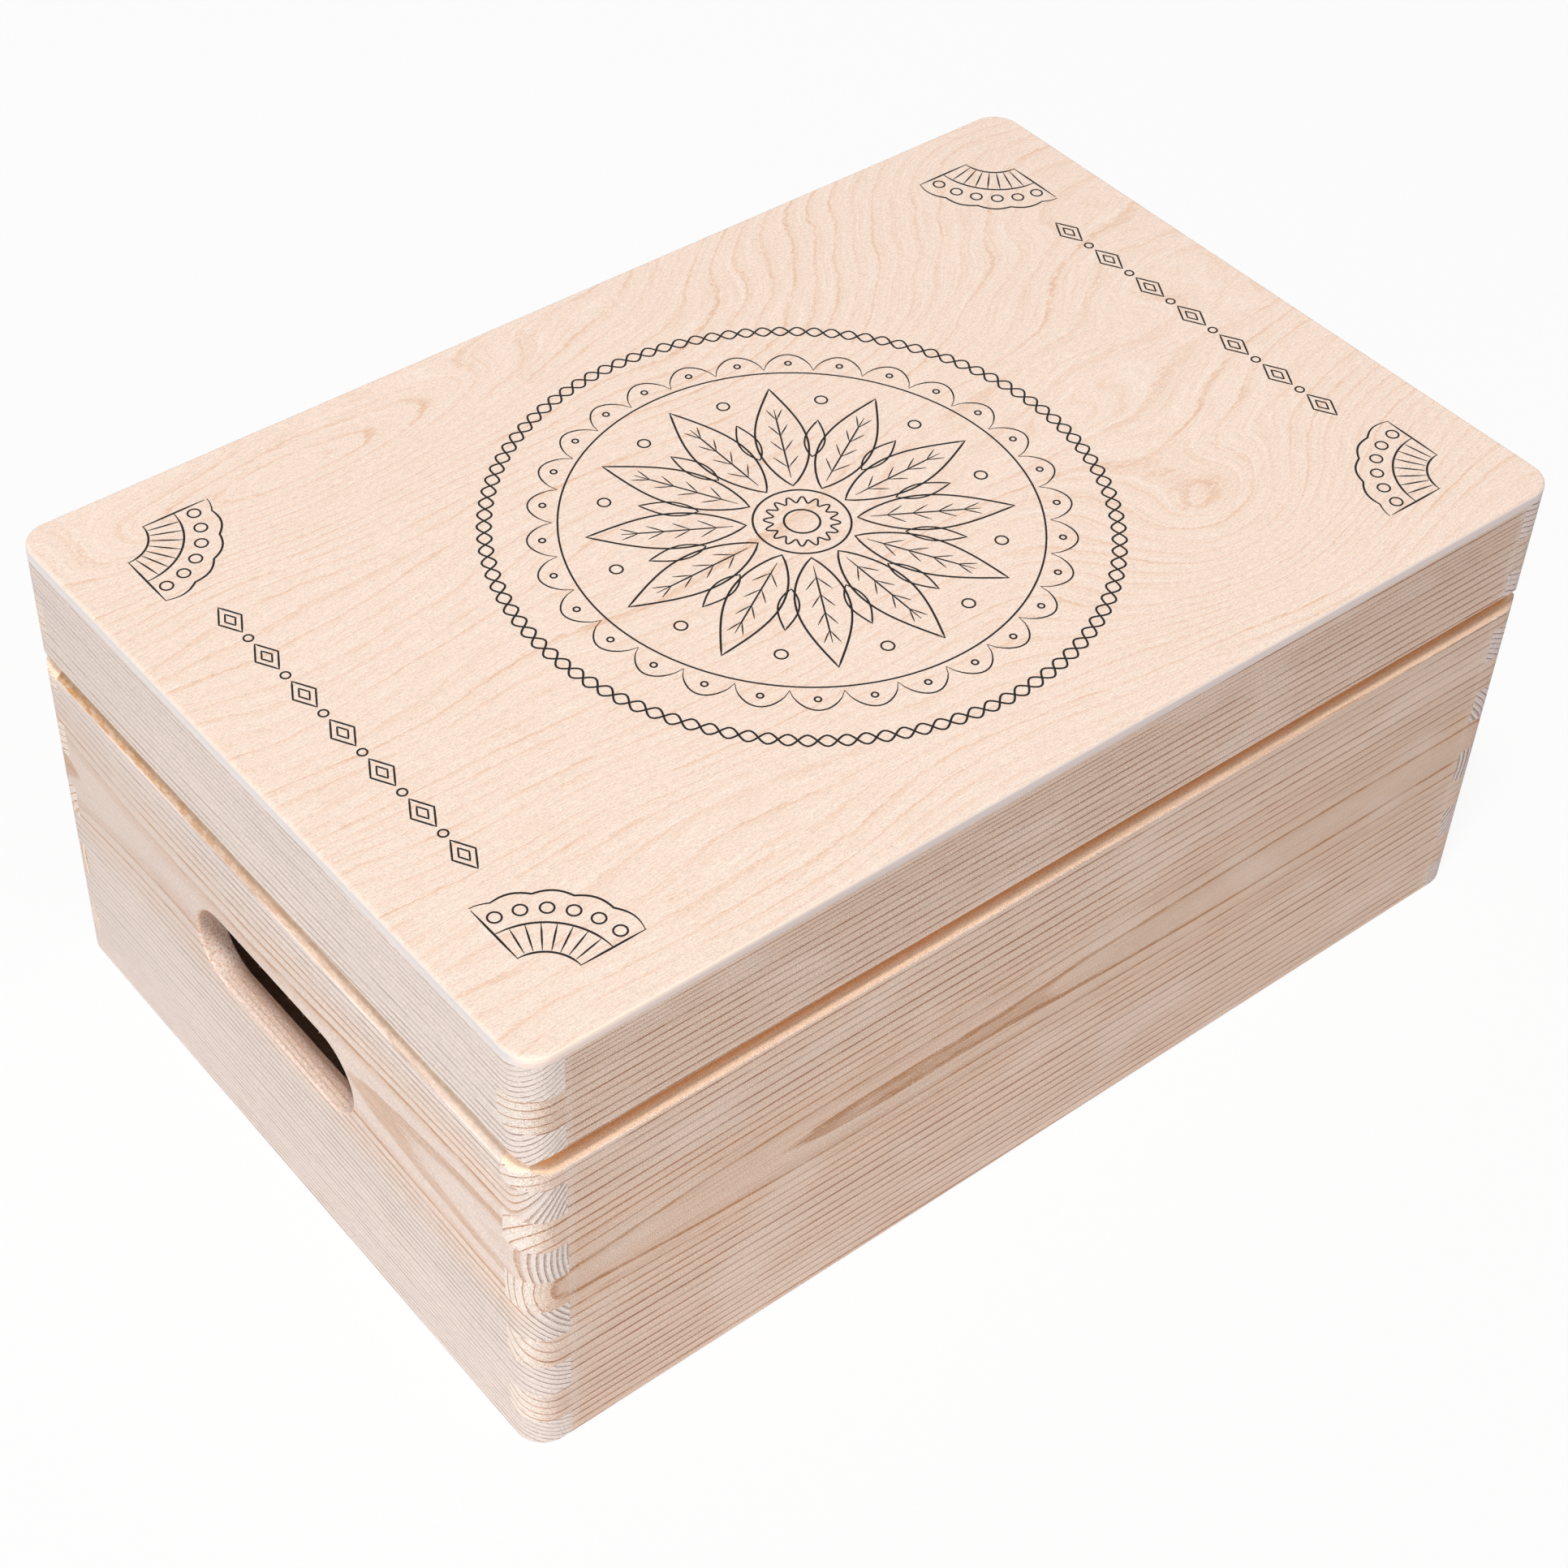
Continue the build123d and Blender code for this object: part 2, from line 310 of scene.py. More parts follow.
def year_lines(point, rings, lines, flame):
    """The dark late wood that ends each year: where it lies, and how strongly it all draws."""
    root, end, part = point.root, point.end, rings.part
    thin = lines["width"] / rings.width * (1 - 0.25 * end)
    late = part.rise(YEAR_END - 1.2 * thin, YEAR_END - 0.3 * thin)
    late = late * (1 - part.rise(YEAR_END, YEAR_END + 0.4 * thin))

    # A line breaks up along the grain, and is weak where it slants and far from the heart
    broken = 0.35 + 0.85 * point.streak.rise(0.36, 0.62)
    slanting = 1 - (abs(rings.height) / rings.radius).rise(0.05, 0.40)
    outer_start, outer_end, outer_least = lines["outer"]
    strength = (0.40 + 0.78 * rings.year) * broken * (1 - 0.5 * slanting * (1 - end))
    strength = strength * (1 - rings.radius.rise(outer_start, outer_end) * (1 - outer_least))
    strength = strength * lines["strength"] * (1 + 0.25 * end)

    # Threads run between the lines, and long faint ones near the heart
    finer = rings.turns * 3.0 + 0.35
    finer_part = root.math("FRACT", finer)
    finer_year = chance(root.math("FLOOR", finer) + point.seed).rise(0.25, 0.95)
    thread = finer_part.rise(0.60, 0.88) * (1 - finer_part.rise(0.91, 1.0)) * finer_year
    faint = cloud(point.place, (45.0, 6.0, 0.55), point.beside, roughness=0.6).rise(0.54, 0.64)
    faint = faint * rings.near_heart * (1 - end) * 0.75
    thread = root.math("MAXIMUM", thread, faint) * lines["threads"] * broken
    amount = root.math("MAXIMUM", late * strength, thread) * point.lively

    # Where a ring grazes the face its late wood is wide and soft, and draws a flame
    grown = point.along.rise(*flame["grows"]) if "grows" in flame else 1.0
    narrowed = point.along.rise(*flame["narrows"]) if "narrows" in flame else 0.0
    soft_start = 0.50 + 0.32 * narrowed
    feathered = part + (point.brush - 0.5) * 0.30
    soft = feathered.rise(soft_start, soft_start + 0.14) * (1 - part.rise(0.94, 1.0))
    soft = soft * rings.grazed * (0.30 + 1.15 * point.brush.rise(0.32, 0.66)) * (0.10 + 0.90 * grown)
    amount = root.math("MAXIMUM", amount, soft * flame["strength"])
    return late, root.math("MINIMUM", amount, 1.0)


def in_groove(point):
    """1 on the bevels of the V groove round the seam, and 0 elsewhere."""
    skin = point.skin
    below_skin = skin.rise(0.03, 0.55) * (1 - skin.rise(GROOVE - 0.1, GROOVE + 0.1))
    return below_skin * (1 - abs(point.z - SEAM).rise(GROOVE + 0.15, GROOVE + 0.35))


def groove_colour_and_painted_shade(point, amount, ink, groove):
    """The darker colour of the groove from the cutter's burnish, with painted light and shade."""
    root, above_seam = point.root, point.z - SEAM
    weave = cloud(point.place, (1.2, 0.5, 0.9), roughness=0.8)
    blotch = cloud(point.place, (3.0, 1.6, 1.6), (point.seed, 0.0, 0.0), roughness=0.8).rise(0.42, 0.60)
    # Along the board the colour goes from start to finish. On the left board this partly paints light:
    # pale at the front, orange bounced light at the back
    colour = blend(root, point.run, groove["start"], groove["finish"])
    # Painted shade: further into the groove, under the lid's edge, the colour turns a darker orange
    colour = blend(root, point.skin.rise(0.9, 2.4), colour, groove["deep_painted_shade"])
    colour = blend(root, amount * 0.22, colour, ink)
    colour = blend(root, blotch * groove["mottle"], colour, RUBBED)
    colour = blend(root, point.end * 0.85, colour, CUT_ACROSS)
    # Painted light and shade: upper and lower scale the bevels above and below the seam, standing in for
    # how the lamps light them
    bevel = groove["lower"] + (groove["upper"] - groove["lower"]) * above_seam.rise(-0.1, 0.1)
    return shaded(colour, bevel * (0.82 + 0.36 * weave))


def torn_fibres(point):
    """1 on torn fibre ends, of which there are most beside a joint and on raised fibres."""
    root, along, z, speck = point.root, point.along, point.z, point.speck
    beside_joint = 1 - abs(abs(along) - FRAYED_STRIP).rise(0.4, 1.6)
    leaning = along * RAISED_FIBRE_RUN + z * RAISED_FIBRE_CLIMB
    upright = along * RAISED_FIBRE_CLIMB - z * RAISED_FIBRE_RUN
    raised_place = at(root, leaning, point.across, upright)
    raised = cloud(raised_place, (0.20, 0.6, 1.5), point.above, detail=0.0).rise(0.77, 0.82)
    fuzz = root.math("MAXIMUM", beside_joint * speck.rise(0.50, 0.64), raised) * (1 - point.end)
    return root.math("MAXIMUM", speck.rise(0.57, 0.67), fuzz * 0.9)


def pine(
    name, grain, seed, heart, growth, lines, flame, fade,
    colours, shade, groove, speckle, sparkle, cut=None,
):
    """Pine as a solid: year rings round a heart that wanders beside the board.

    grain is the axis the board runs along. heart has a path of (place along, depth behind the
    outside face). growth gives the years as (radius, year), tip, which is the radius of the ring
    that just grazes the face, and the width of a year there. fade makes the grain fainter along
    the board, as (start, end, loss). cut, where given, finishes what a cutter has opened.
    """
    made, root, shader = finish_of(name)
    point = board_point(root, grain, seed, fade)
    rings = year_rings(point, heart, growth)
    late, amount = year_lines(point, rings, lines, flame)
    end, run, lively = point.end, point.run, point.lively

    # Cut across, the grain is paler and its fibres stand out
    colour = blend(root, rings.near_heart * 0.5 + point.mood * 0.5, colours["pale"], colours["warm"])
    colour = blend(root, end, colour, colours["end_grain"])
    ink = blend(root, rings.near_heart, colours["line"], colours["warm_line"])
    ink = blend(root, end, ink, colours["end_line"])
    early_shade = rings.part.rise(0.20, 0.90) * (1 - rings.part.rise(YEAR_END, 1.0))
    colour = blend(root, early_shade * 0.10, colour, ink)
    bleach = cloud(point.place, (34.0, 20.0, 15.0), point.above, detail=1.0).rise(0.47, 0.68)
    bleach = bleach * sparkle * (1 - end)
    plain = blend(root, bleach * 0.32, colour, BLEACHED)
    colour = blend(root, amount * (1 - 0.35 * bleach), plain, ink)
    pitch_place = at(root, rings.turns, rings.height, point.along)
    pitch = cloud(pitch_place, (1.25, 1.4, 9.0), point.beside, detail=1.0).rise(0.60, 0.68)
    colour = blend(root, pitch * late * (0.12 + 0.75 * end), colour, colours["pitch"])
    groove_mask = in_groove(point)
    colour = blend(root, groove_mask, colour, groove_colour_and_painted_shade(point, amount, ink, groove))

    # Painted light: the board is painted lighter at one end and darker at the other and on the lid
    # strip. Near the heart it also darkens towards the far end, and its fibres mottle it
    light = shade["start"] + (shade["finish"] - shade["start"]) * run - rings.near_heart * run * 0.05
    light = light * (1 + (shade["lid"] - 1) * point.z.rise(*SHADE_ON_LID))
    fibres = 0.28 * (point.fibre - 0.5) + 0.20 * (point.brush - 0.5) + 0.14 * (point.mood - 0.5)
    grit = point.grit * speckle * lively * (1 + 0.4 * end) * (1 - 0.6 * groove_mask)
    colour = shaded(colour, light * (1 + fibres) + grit)

    # Torn fibre ends are paler and are painted up as fine white sparks of highlight, and painted
    # shade darkens the dents between them
    torn = torn_fibres(point) * sparkle * lively * (1 - 0.8 * groove_mask)
    colour = blend(root, torn, colour, SPARK)
    colour = blend(root, (1 - point.speck.rise(0.28, 0.42)) * sparkle * 0.8, colour, ink)
    relief = point.fibre * 0.35 - amount * 0.5 + point.grit * speckle * 0.6 + point.speck * sparkle * 1.6
    if cut:
        colour, relief = cut(point, colour, relief, plain)
    connect(colour, shader, "Base Color")
    connect(0.62 + 0.16 * point.fibre - 0.08 * late, shader, "Roughness")
    emboss(shader, relief, strength=0.5, depth=0.00012)
    shader.inputs["Specular IOR Level"].default_value = 0.35
    return made


def eased(node, ease, body, finish):
    """The CAD piece with its sharp edges broken by the sander. It takes the node's place."""
    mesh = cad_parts[node].data.copy()
    mesh.name = node + "_shape"
    work = bmesh.new()
    work.from_mesh(mesh)
    bmesh.ops.remove_doubles(work, verts=work.verts, dist=SAME_POINT)
    bmesh.ops.dissolve_limit(work, angle_limit=FLAT, verts=work.verts, edges=work.edges)
    sharp = [e for e in work.edges if e.is_manifold and e.calc_face_angle(0.0) > SHARP]
    bmesh.ops.bevel(
        work,
        geom=sharp,
        offset=ease,
        offset_type="OFFSET",
        segments=2,
        profile=0.6,
        affect="EDGES",
        clamp_overlap=True,
    )
    work.to_mesh(mesh)
    work.free()
    piece = bpy.data.objects.new(node + "_eased", mesh)
    bpy.context.scene.collection.objects.link(piece)
    mesh.materials.clear()
    mesh.materials.append(finish)
    for face in mesh.polygons:
        face.use_smooth = True
    mesh.set_sharp_from_angle(angle=CREASE)
    weighted = piece.modifiers.new("flat faces stay flat", "WEIGHTED_NORMAL")
    weighted.keep_sharp = True
    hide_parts(node)
    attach(piece, body)


front_pine = pine(
    "front_pine",
    grain="x",
    seed=11.0,
    heart={
        "height": 54.9,
        "slope": -0.011,
        "path": [
            (-150.0, -15.8),
            (-140.0, -15.1),
            (-130.0, -14.8),
            (-110.0, -14.05),
            (-86.0, -13.4),
            (-74.0, -13.12),
            (-60.0, -12.90),
            (-14.0, -12.76),
            (2.0, -12.4),
            (60.0, -11.6),
            (150.0, -11.7),
        ],
    },
    growth={
        "years": [
            (0.0, -5.3),
            (13.3, 0.0),
            (15.8, 1.0),
            (24.35, 5.0),
            (33.2, 8.0),
            (43.6, 12.0),
            (53.1, 16.0),
            (63.2, 20.0),
            (70.2, 23.0),
            (74.2, 26.0),
            (140.0, 54.0),
        ],
        "tip": 13.3,
        "width": 2.5,
    },
    lines={"width": 0.40, "strength": 2.35, "threads": 0.48, "outer": (40.0, 80.0, 1.0)},
    flame={"strength": 0.44, "grows": (-125.0, -50.0), "narrows": (-14.0, 10.0)},
    fade=(0.0, 60.0, 0.45),
    colours={
        "pale": (0.80, 0.60, 0.483),
        "warm": (0.79, 0.56, 0.425),
        "end_grain": (0.93, 0.815, 0.725),
        "line": (0.37, 0.145, 0.058),
        "warm_line": (0.48, 0.215, 0.085),
        "end_line": (0.58, 0.32, 0.19),
        "pitch": (0.28, 0.12, 0.06),
    },
    shade={"start": 1.125, "finish": 0.97, "lid": 0.94},
    groove={
        "start": (0.93, 0.65, 0.46),
        "finish": (0.93, 0.65, 0.46),
        "deep_painted_shade": (0.75, 0.34, 0.135),
        "mottle": 0.0,
        "upper": 1.0,
        "lower": 1.0,
    },
    speckle=2.2,
    sparkle=1.1,
)
back_pine = pine(
    "back_pine",
    grain="x",
    seed=29.0,
    heart={
        "height": 38.0,
        "slope": 0.02,
        "path": [(-150.0, 27.0), (-60.0, 25.5), (20.0, 25.0), (90.0, 26.2), (150.0, 25.4)],
    },
    growth={
        "years": [(0.0, -11.2), (25.3, 0.0), (60.0, 17.0), (90.0, 31.0), (140.0, 58.0)],
        "tip": 25.3,
        "width": 2.0,
    },
    lines={"width": 0.40, "strength": 1.4, "threads": 0.40, "outer": (40.0, 80.0, 0.8)},
    flame={"strength": 0.6, "narrows": (60.0, 90.0)},
    fade=(-60.0, 120.0, 0.3),
    colours={
        "pale": (0.82, 0.63, 0.52),
        "warm": (0.81, 0.585, 0.45),
        "end_grain": (0.93, 0.79, 0.69),
        "line": (0.33, 0.17, 0.10),
        "warm_line": (0.54, 0.27, 0.125),
        "end_line": (0.60, 0.36, 0.22),
        "pitch": (0.26, 0.11, 0.06),
    },
    shade={"start": 1.03, "finish": 0.98, "lid": 0.97},
    groove={
        "start": (0.80, 0.56, 0.39),
        "finish": (0.78, 0.54, 0.37),
        "deep_painted_shade": (0.62, 0.33, 0.16),
        "mottle": 0.1,
        "upper": 1.1,
        "lower": 1.1,
    },
    speckle=1.6,
    sparkle=0.7,
)
eased("front_board", BOARD_EASE, "body", front_pine)
eased("back_board", BOARD_EASE, "body", back_pine)

# End boards with the hand holes
# The same pine, paler, with its heart close behind the outside face. A cutter on a template
# opens each hand hole, and leaves the end grain at its ends rough.
END_BOARD = 10.0
HOLE_LENGTH = 67.0
HOLE_WIDTH = 25.0
HOLE_BELOW_RIM = 39.6
HOLE_MIDDLE = 1.0
HOLE_LIP = 1.0
HOLE_LAND = 6.0
HOLE_FLARE = 8.0
HOLE_HEIGHT = BODY_TOP - HOLE_BELOW_RIM
HOLE_RADIUS = HOLE_WIDTH / 2 - HOLE_LIP
HOLE_HALF_RUN = (HOLE_LENGTH - HOLE_WIDTH) / 2
HOLE_LAND_END = HOLE_LIP + HOLE_LAND
HOLE_FLARE_SLOPE = HOLE_FLARE / (END_BOARD - HOLE_LAND_END)


def hand_hole_wall(point, colour, relief, plain):
    """Long grain above and below, torn end grain at both ends, and painted shade towards the inside."""
    root, depth = point.root, point.depth
    run = root.math("MAXIMUM", abs(point.along - HOLE_MIDDLE) - HOLE_HALF_RUN, 0.0)
    drop = point.z - HOLE_HEIGHT
    reach_out = root.math("SQRT", run * run + drop * drop)
    flare = root.math("MAXIMUM", depth - HOLE_LAND_END, 0.0) * HOLE_FLARE_SLOPE
    inside = depth.rise(0.02, 0.25) * (1 - (reach_out - HOLE_RADIUS - flare).rise(1.1, 1.6))
    chips = cloud(point.place, (1.1, 0.8, 0.5), detail=3.0, roughness=0.75)
    pits = cloud(point.place, (0.75, 0.50, 0.50), detail=3.0, roughness=0.8)
    # The torn ends' warm colour partly paints light bounced about inside the hole
    torn = blend(root, chips.rise(0.40, 0.58), (0.93, 0.52, 0.37), (1.0, 0.87, 0.76))
    # Painted light: the lower part of the torn ends is lighter
    torn = blend(root, (1 - drop.rise(-10.0, 1.0)) * 0.5, torn, (1.0, 0.85, 0.75))
    # The pits are dark, and painted shade darkens them more towards the inside
    pits_and_painted_shade = (1 - pits.rise(0.36, 0.50)) * (0.62 + 0.30 * depth.rise(2.0, 8.0))
    torn = blend(root, pits_and_painted_shade, torn, (0.46, 0.17, 0.09))
    # Painted shade darkens the smooth wall towards the inside, and a painted highlight brightens its
    # outer edge
    painted_inward_shade = blend(root, depth.rise(0.3, 8.0), (1.0, 0.955, 0.93), (0.89, 0.70, 0.61))
    smooth = blend(root, 1.0, blend(root, 0.45, colour, plain), painted_inward_shade, "MULTIPLY")
    smooth = shaded(smooth, 1.08 - 0.08 * depth.rise(0.3, 4.0) + 1.4 * (pits - 0.5))
    wall = blend(root, (run / 9.0).rise(0.1, 0.9), smooth, torn)
    return blend(root, inside, colour, wall), relief + inside * (chips * 4.5 + pits * 3.0)


left_pine = pine(
    "left_pine",
    grain="y",
    seed=5.0,
    heart={
        "height": 66.78,
        "slope": -0.0065,
        "path": [
            (-99.0, 36.42),
            (-88.0, 36.56),
            (-71.0, 36.79),
            (-50.0, 37.21),
            (-42.0, 37.39),
            (-36.0, 37.56),
            (-31.0, 37.66),
            (-22.0, 37.85),
            (0.0, 38.25),
            (20.0, 38.42),
            (62.0, 38.4),
            (84.0, 37.8),
            (99.0, 37.4),
        ],
    },
    growth={
        "years": [
            (0.0, -28.0),
            (37.75, 0.0),
            (39.57, 1.0),
            (44.15, 5.0),
            (53.2, 12.0),
            (62.6, 18.0),
            (74.8, 27.0),
            (110.0, 50.0),
            (140.0, 59.0),
        ],
        "tip": 37.75,
        "width": 1.35,
    },
    lines={"width": 0.30, "strength": 1.65, "threads": 0.16, "outer": (46.0, 60.0, 0.68)},
    flame={"strength": 0.54},
    fade=(-20.0, 80.0, 0.55),
    colours={
        "pale": (0.885, 0.77, 0.715),
        "warm": (0.89, 0.72, 0.62),
        "end_grain": (0.925, 0.80, 0.735),
        "line": (0.46, 0.335, 0.27),
        "warm_line": (0.63, 0.355, 0.195),
        "end_line": (0.36, 0.235, 0.18),
        "pitch": (0.30, 0.17, 0.11),
    },
    shade={"start": 1.03, "finish": 0.94, "lid": 1.0},
    groove={
        "start": (0.84, 0.70, 0.625),
        "finish": (0.64, 0.30, 0.07),
        "deep_painted_shade": (0.84, 0.65, 0.48),
        "mottle": 0.50,
        "upper": 1.6,
        "lower": 0.85,
    },
    speckle=1.05,
    sparkle=0.3,
    cut=hand_hole_wall,
)
right_pine = pine(
    "right_pine",
    grain="y",
    seed=41.0,
    heart={
        "height": 48.0,
        "slope": 0.03,
        "path": [(-99.0, 31.0), (-40.0, 29.8), (20.0, 29.5), (99.0, 30.9)],
    },
    growth={
        "years": [(0.0, -18.5), (29.6, 0.0), (50.0, 14.0), (80.0, 33.0), (120.0, 58.0)],
        "tip": 29.6,
        "width": 1.5,
    },
    lines={"width": 0.34, "strength": 1.3, "threads": 0.16, "outer": (50.0, 70.0, 0.8)},
    flame={"strength": 0.6},
    fade=(-60.0, 80.0, 0.2),
    colours={
        "pale": (0.86, 0.74, 0.67),
        "warm": (0.86, 0.70, 0.60),
        "end_grain": (0.80, 0.66, 0.61),
        "line": (0.50, 0.36, 0.29),
        "warm_line": (0.60, 0.37, 0.24),
        "end_line": (0.22, 0.12, 0.11),
        "pitch": (0.20, 0.08, 0.06),
    },
    shade={"start": 1.0, "finish": 1.0, "lid": 1.0},
    groove={
        "start": (0.80, 0.60, 0.46),
        "finish": (0.74, 0.50, 0.32),
        "deep_painted_shade": (0.66, 0.44, 0.28),
        "mottle": 0.4,
        "upper": 1.1,
        "lower": 1.0,
    },
    speckle=1.05,
    sparkle=0.3,
    cut=hand_hole_wall,
)
eased("left_board", BOARD_EASE, "body", left_pine)
eased("right_board", BOARD_EASE, "body", right_pine)

# Splinters at the hand hole
# A few fibres of the left end board that the cutter bent out and left standing on the upper
# edge of the hole. Pine, painted paler than the face as a highlight, since they catch the light.
SPLINTER_THICKNESS = 0.09
SPLINTER_FOOT_DEPTH = 0.45
SPLINTER_TIP_DEPTH = 0.25
SPLINTER_SIDES = 3
SPLINTER_BEND = 2.0
SPLINTER_TAPER = 0.75


def splinter(shape, foot, tip):
    """A thin three sided spike that bends a little, from foot to tip, both in millimetres."""
    foot, tip = Vector(foot) / MM, Vector(tip) / MM
    thickness = SPLINTER_THICKNESS / MM
    run = tip - foot
    across = run.cross(Vector((1, 0, 0))).normalized() * thickness
    out = Vector((thickness, 0, 0))
    rings = []
    for step in (0.0, 0.35, 0.7):
        centre = foot + run * step - out * SPLINTER_BEND * step * step
        size = 1.0 - SPLINTER_TAPER * step
        rings.append([shape.verts.new(centre + p * size) for p in (across, -across, out)])
    point = shape.verts.new(tip - out * SPLINTER_BEND)
    shape.faces.new(rings[0][::-1])
    for side in range(SPLINTER_SIDES):
        other = (side + 1) % SPLINTER_SIDES
        for lower, upper in itertools.pairwise(rings):
            shape.faces.new((lower[side], lower[other], upper[other], upper[side]))
        shape.faces.new((rings[-1][side], rings[-1][other], point))


def torn_pine():
    """The raw fibre of a splinter, twisted and painted pale as a highlight."""
    made, root, shader = finish_of("torn_pine")
    twist = cloud(at(root, *object_place(root)), (0.2, 0.2, 0.5))
    connect(blend(root, twist, (0.86, 0.72, 0.62), (0.98, 0.93, 0.88)), shader, "Base Color")
    connect(0.6 + 0.2 * twist, shader, "Roughness")
    emboss(shader, twist, strength=0.3, depth=0.00005)
    return made


def piece_of(name, work, finish, body):
    """Makes a piece of its own out of the mesh under work."""
    mesh = bpy.data.meshes.new(name)
    work.to_mesh(mesh)
    work.free()
    mesh.materials.append(finish)
    piece = bpy.data.objects.new(name, mesh)
    bpy.context.scene.collection.objects.link(piece)
    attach(piece, body)


# Each has its place along the edge, how far over the edge it starts, its length and its lean
splinter_work = bmesh.new()
for place, lift, length, lean in (
    (5.5, 0.35, 1.0, -0.5),
    (-7.0, 0.30, 0.7, 0.2),
    (-12.5, 0.35, 1.3, -0.4),
    (-19.5, 0.30, 1.2, 0.5),
    (14.0, 0.30, 0.6, 0.3),
):
    foot_height = HOLE_HEIGHT + HOLE_RADIUS + lift
    foot = (-(END_BOARD_FACE - SPLINTER_FOOT_DEPTH), place, foot_height)
    tip = (-(END_BOARD_FACE - SPLINTER_TIP_DEPTH), place + lean, foot_height - length)
    splinter(splinter_work, foot, tip)
piece_of("left_hole_splinters", splinter_work, torn_pine(), "body")

# Bottom panel
# Birch plywood, pressed into the rebate under the boards with glue. Both its faces show: one
# inside the box and one underneath.
PANEL_EASE = 0.00010
YEAR_SPACING = 9.5
CONTOURS_IN_A_YEAR = 2.1
UNDER_SHIFT_X = 31.0
UNDER_STRETCH = 1.7
UNDER_SHIFT_Y = 23.0
NO_TINT = (1.0, 1.0, 1.0)


def veneer_figure(root, x, y):
    """The height of a low hilly ground, whose contours are what the knife leaves of the years."""
    stretch = cloud(at(root, x, y, 1.0), (210.0, 70.0, 1.0), (0.0, 4.0, 0.0), detail=1.0) - 0.5
    roll = cloud(at(root, x, y, 6.0), (75.0, 26.0, 1.0), detail=1.0) - 0.5
    sweep = (x - 5.0).rise(0.0, 130.0) * (y + 25.0).rise(0.0, 110.0)
    level = 30.0 + y / YEAR_SPACING + stretch * 5.0 + roll * 1.6 - sweep * 7.0

    # Each hill has the x and y of its middle, its half length and half width, and its height
    for hill_x, hill_y, half_length, half_width, hill_height in (
        (-88.0, 80.0, 62.0, 15.0, 3.0),
        (78.0, -62.0, 40.0, 34.0, 3.6),
    ):
        away = ((x - hill_x) / half_length) ** 2.0 + ((y - hill_y) / half_width) ** 2.0
        level = level + hill_height * root.math("EXPONENT", 0.0 - away)
    return level


def ply_edge(root, x, y, z, layer):
    """The plies on the panel's edge. The core is cut across at the front, and runs along the ends."""
    front_on = facing(root, "Y").rise(0.2, 0.8)
    to_left = 1 - x.rise(-130.0, -20.0)
    grit = cloud(at(root, x, y, z), (0.5, 0.5, 0.2), roughness=0.7)
    ends = root.node(
        "ShaderNodeValToRGB",
        {"stops": [
            (0.02, (0.80, 0.74, 0.73)),
            (0.06, (0.93, 0.88, 0.86)),
            (0.12, (0.93, 0.89, 0.87)),
            (0.18, (0.86, 0.79, 0.77)),
            (0.48, (0.88, 0.81, 0.79)),
            (0.52, (0.80, 0.74, 0.73)),
            (0.58, (0.85, 0.77, 0.74)),
            (0.85, (0.87, 0.77, 0.72)),
        ]},
        {0: layer},
    )
    sides = root.node(
        "ShaderNodeValToRGB",
        {"stops": [
            (0.02, (0.80, 0.68, 0.63)),
            (0.10, (0.83, 0.71, 0.66)),
            (0.22, (0.80, 0.67, 0.63)),
            (0.45, (0.84, 0.72, 0.68)),
            (0.54, (0.80, 0.69, 0.67)),
            (0.74, (0.93, 0.80, 0.74)),
            (0.86, (0.93, 0.78, 0.69)),
        ]},
        {0: layer + 0.26 * layer.rise(0.20, 0.40) * to_left},
    )
    plies = shaded(blend(root, front_on, ends, sides), 0.85 + 0.30 * grit)
    # Painted light: the front edge is painted brighter and warmer towards the left
    painted_light_at_left = blend(root, front_on * to_left, NO_TINT, (1.30, 1.24, 1.16))
    return blend(root, 1.0, plies, painted_light_at_left, "MULTIPLY")


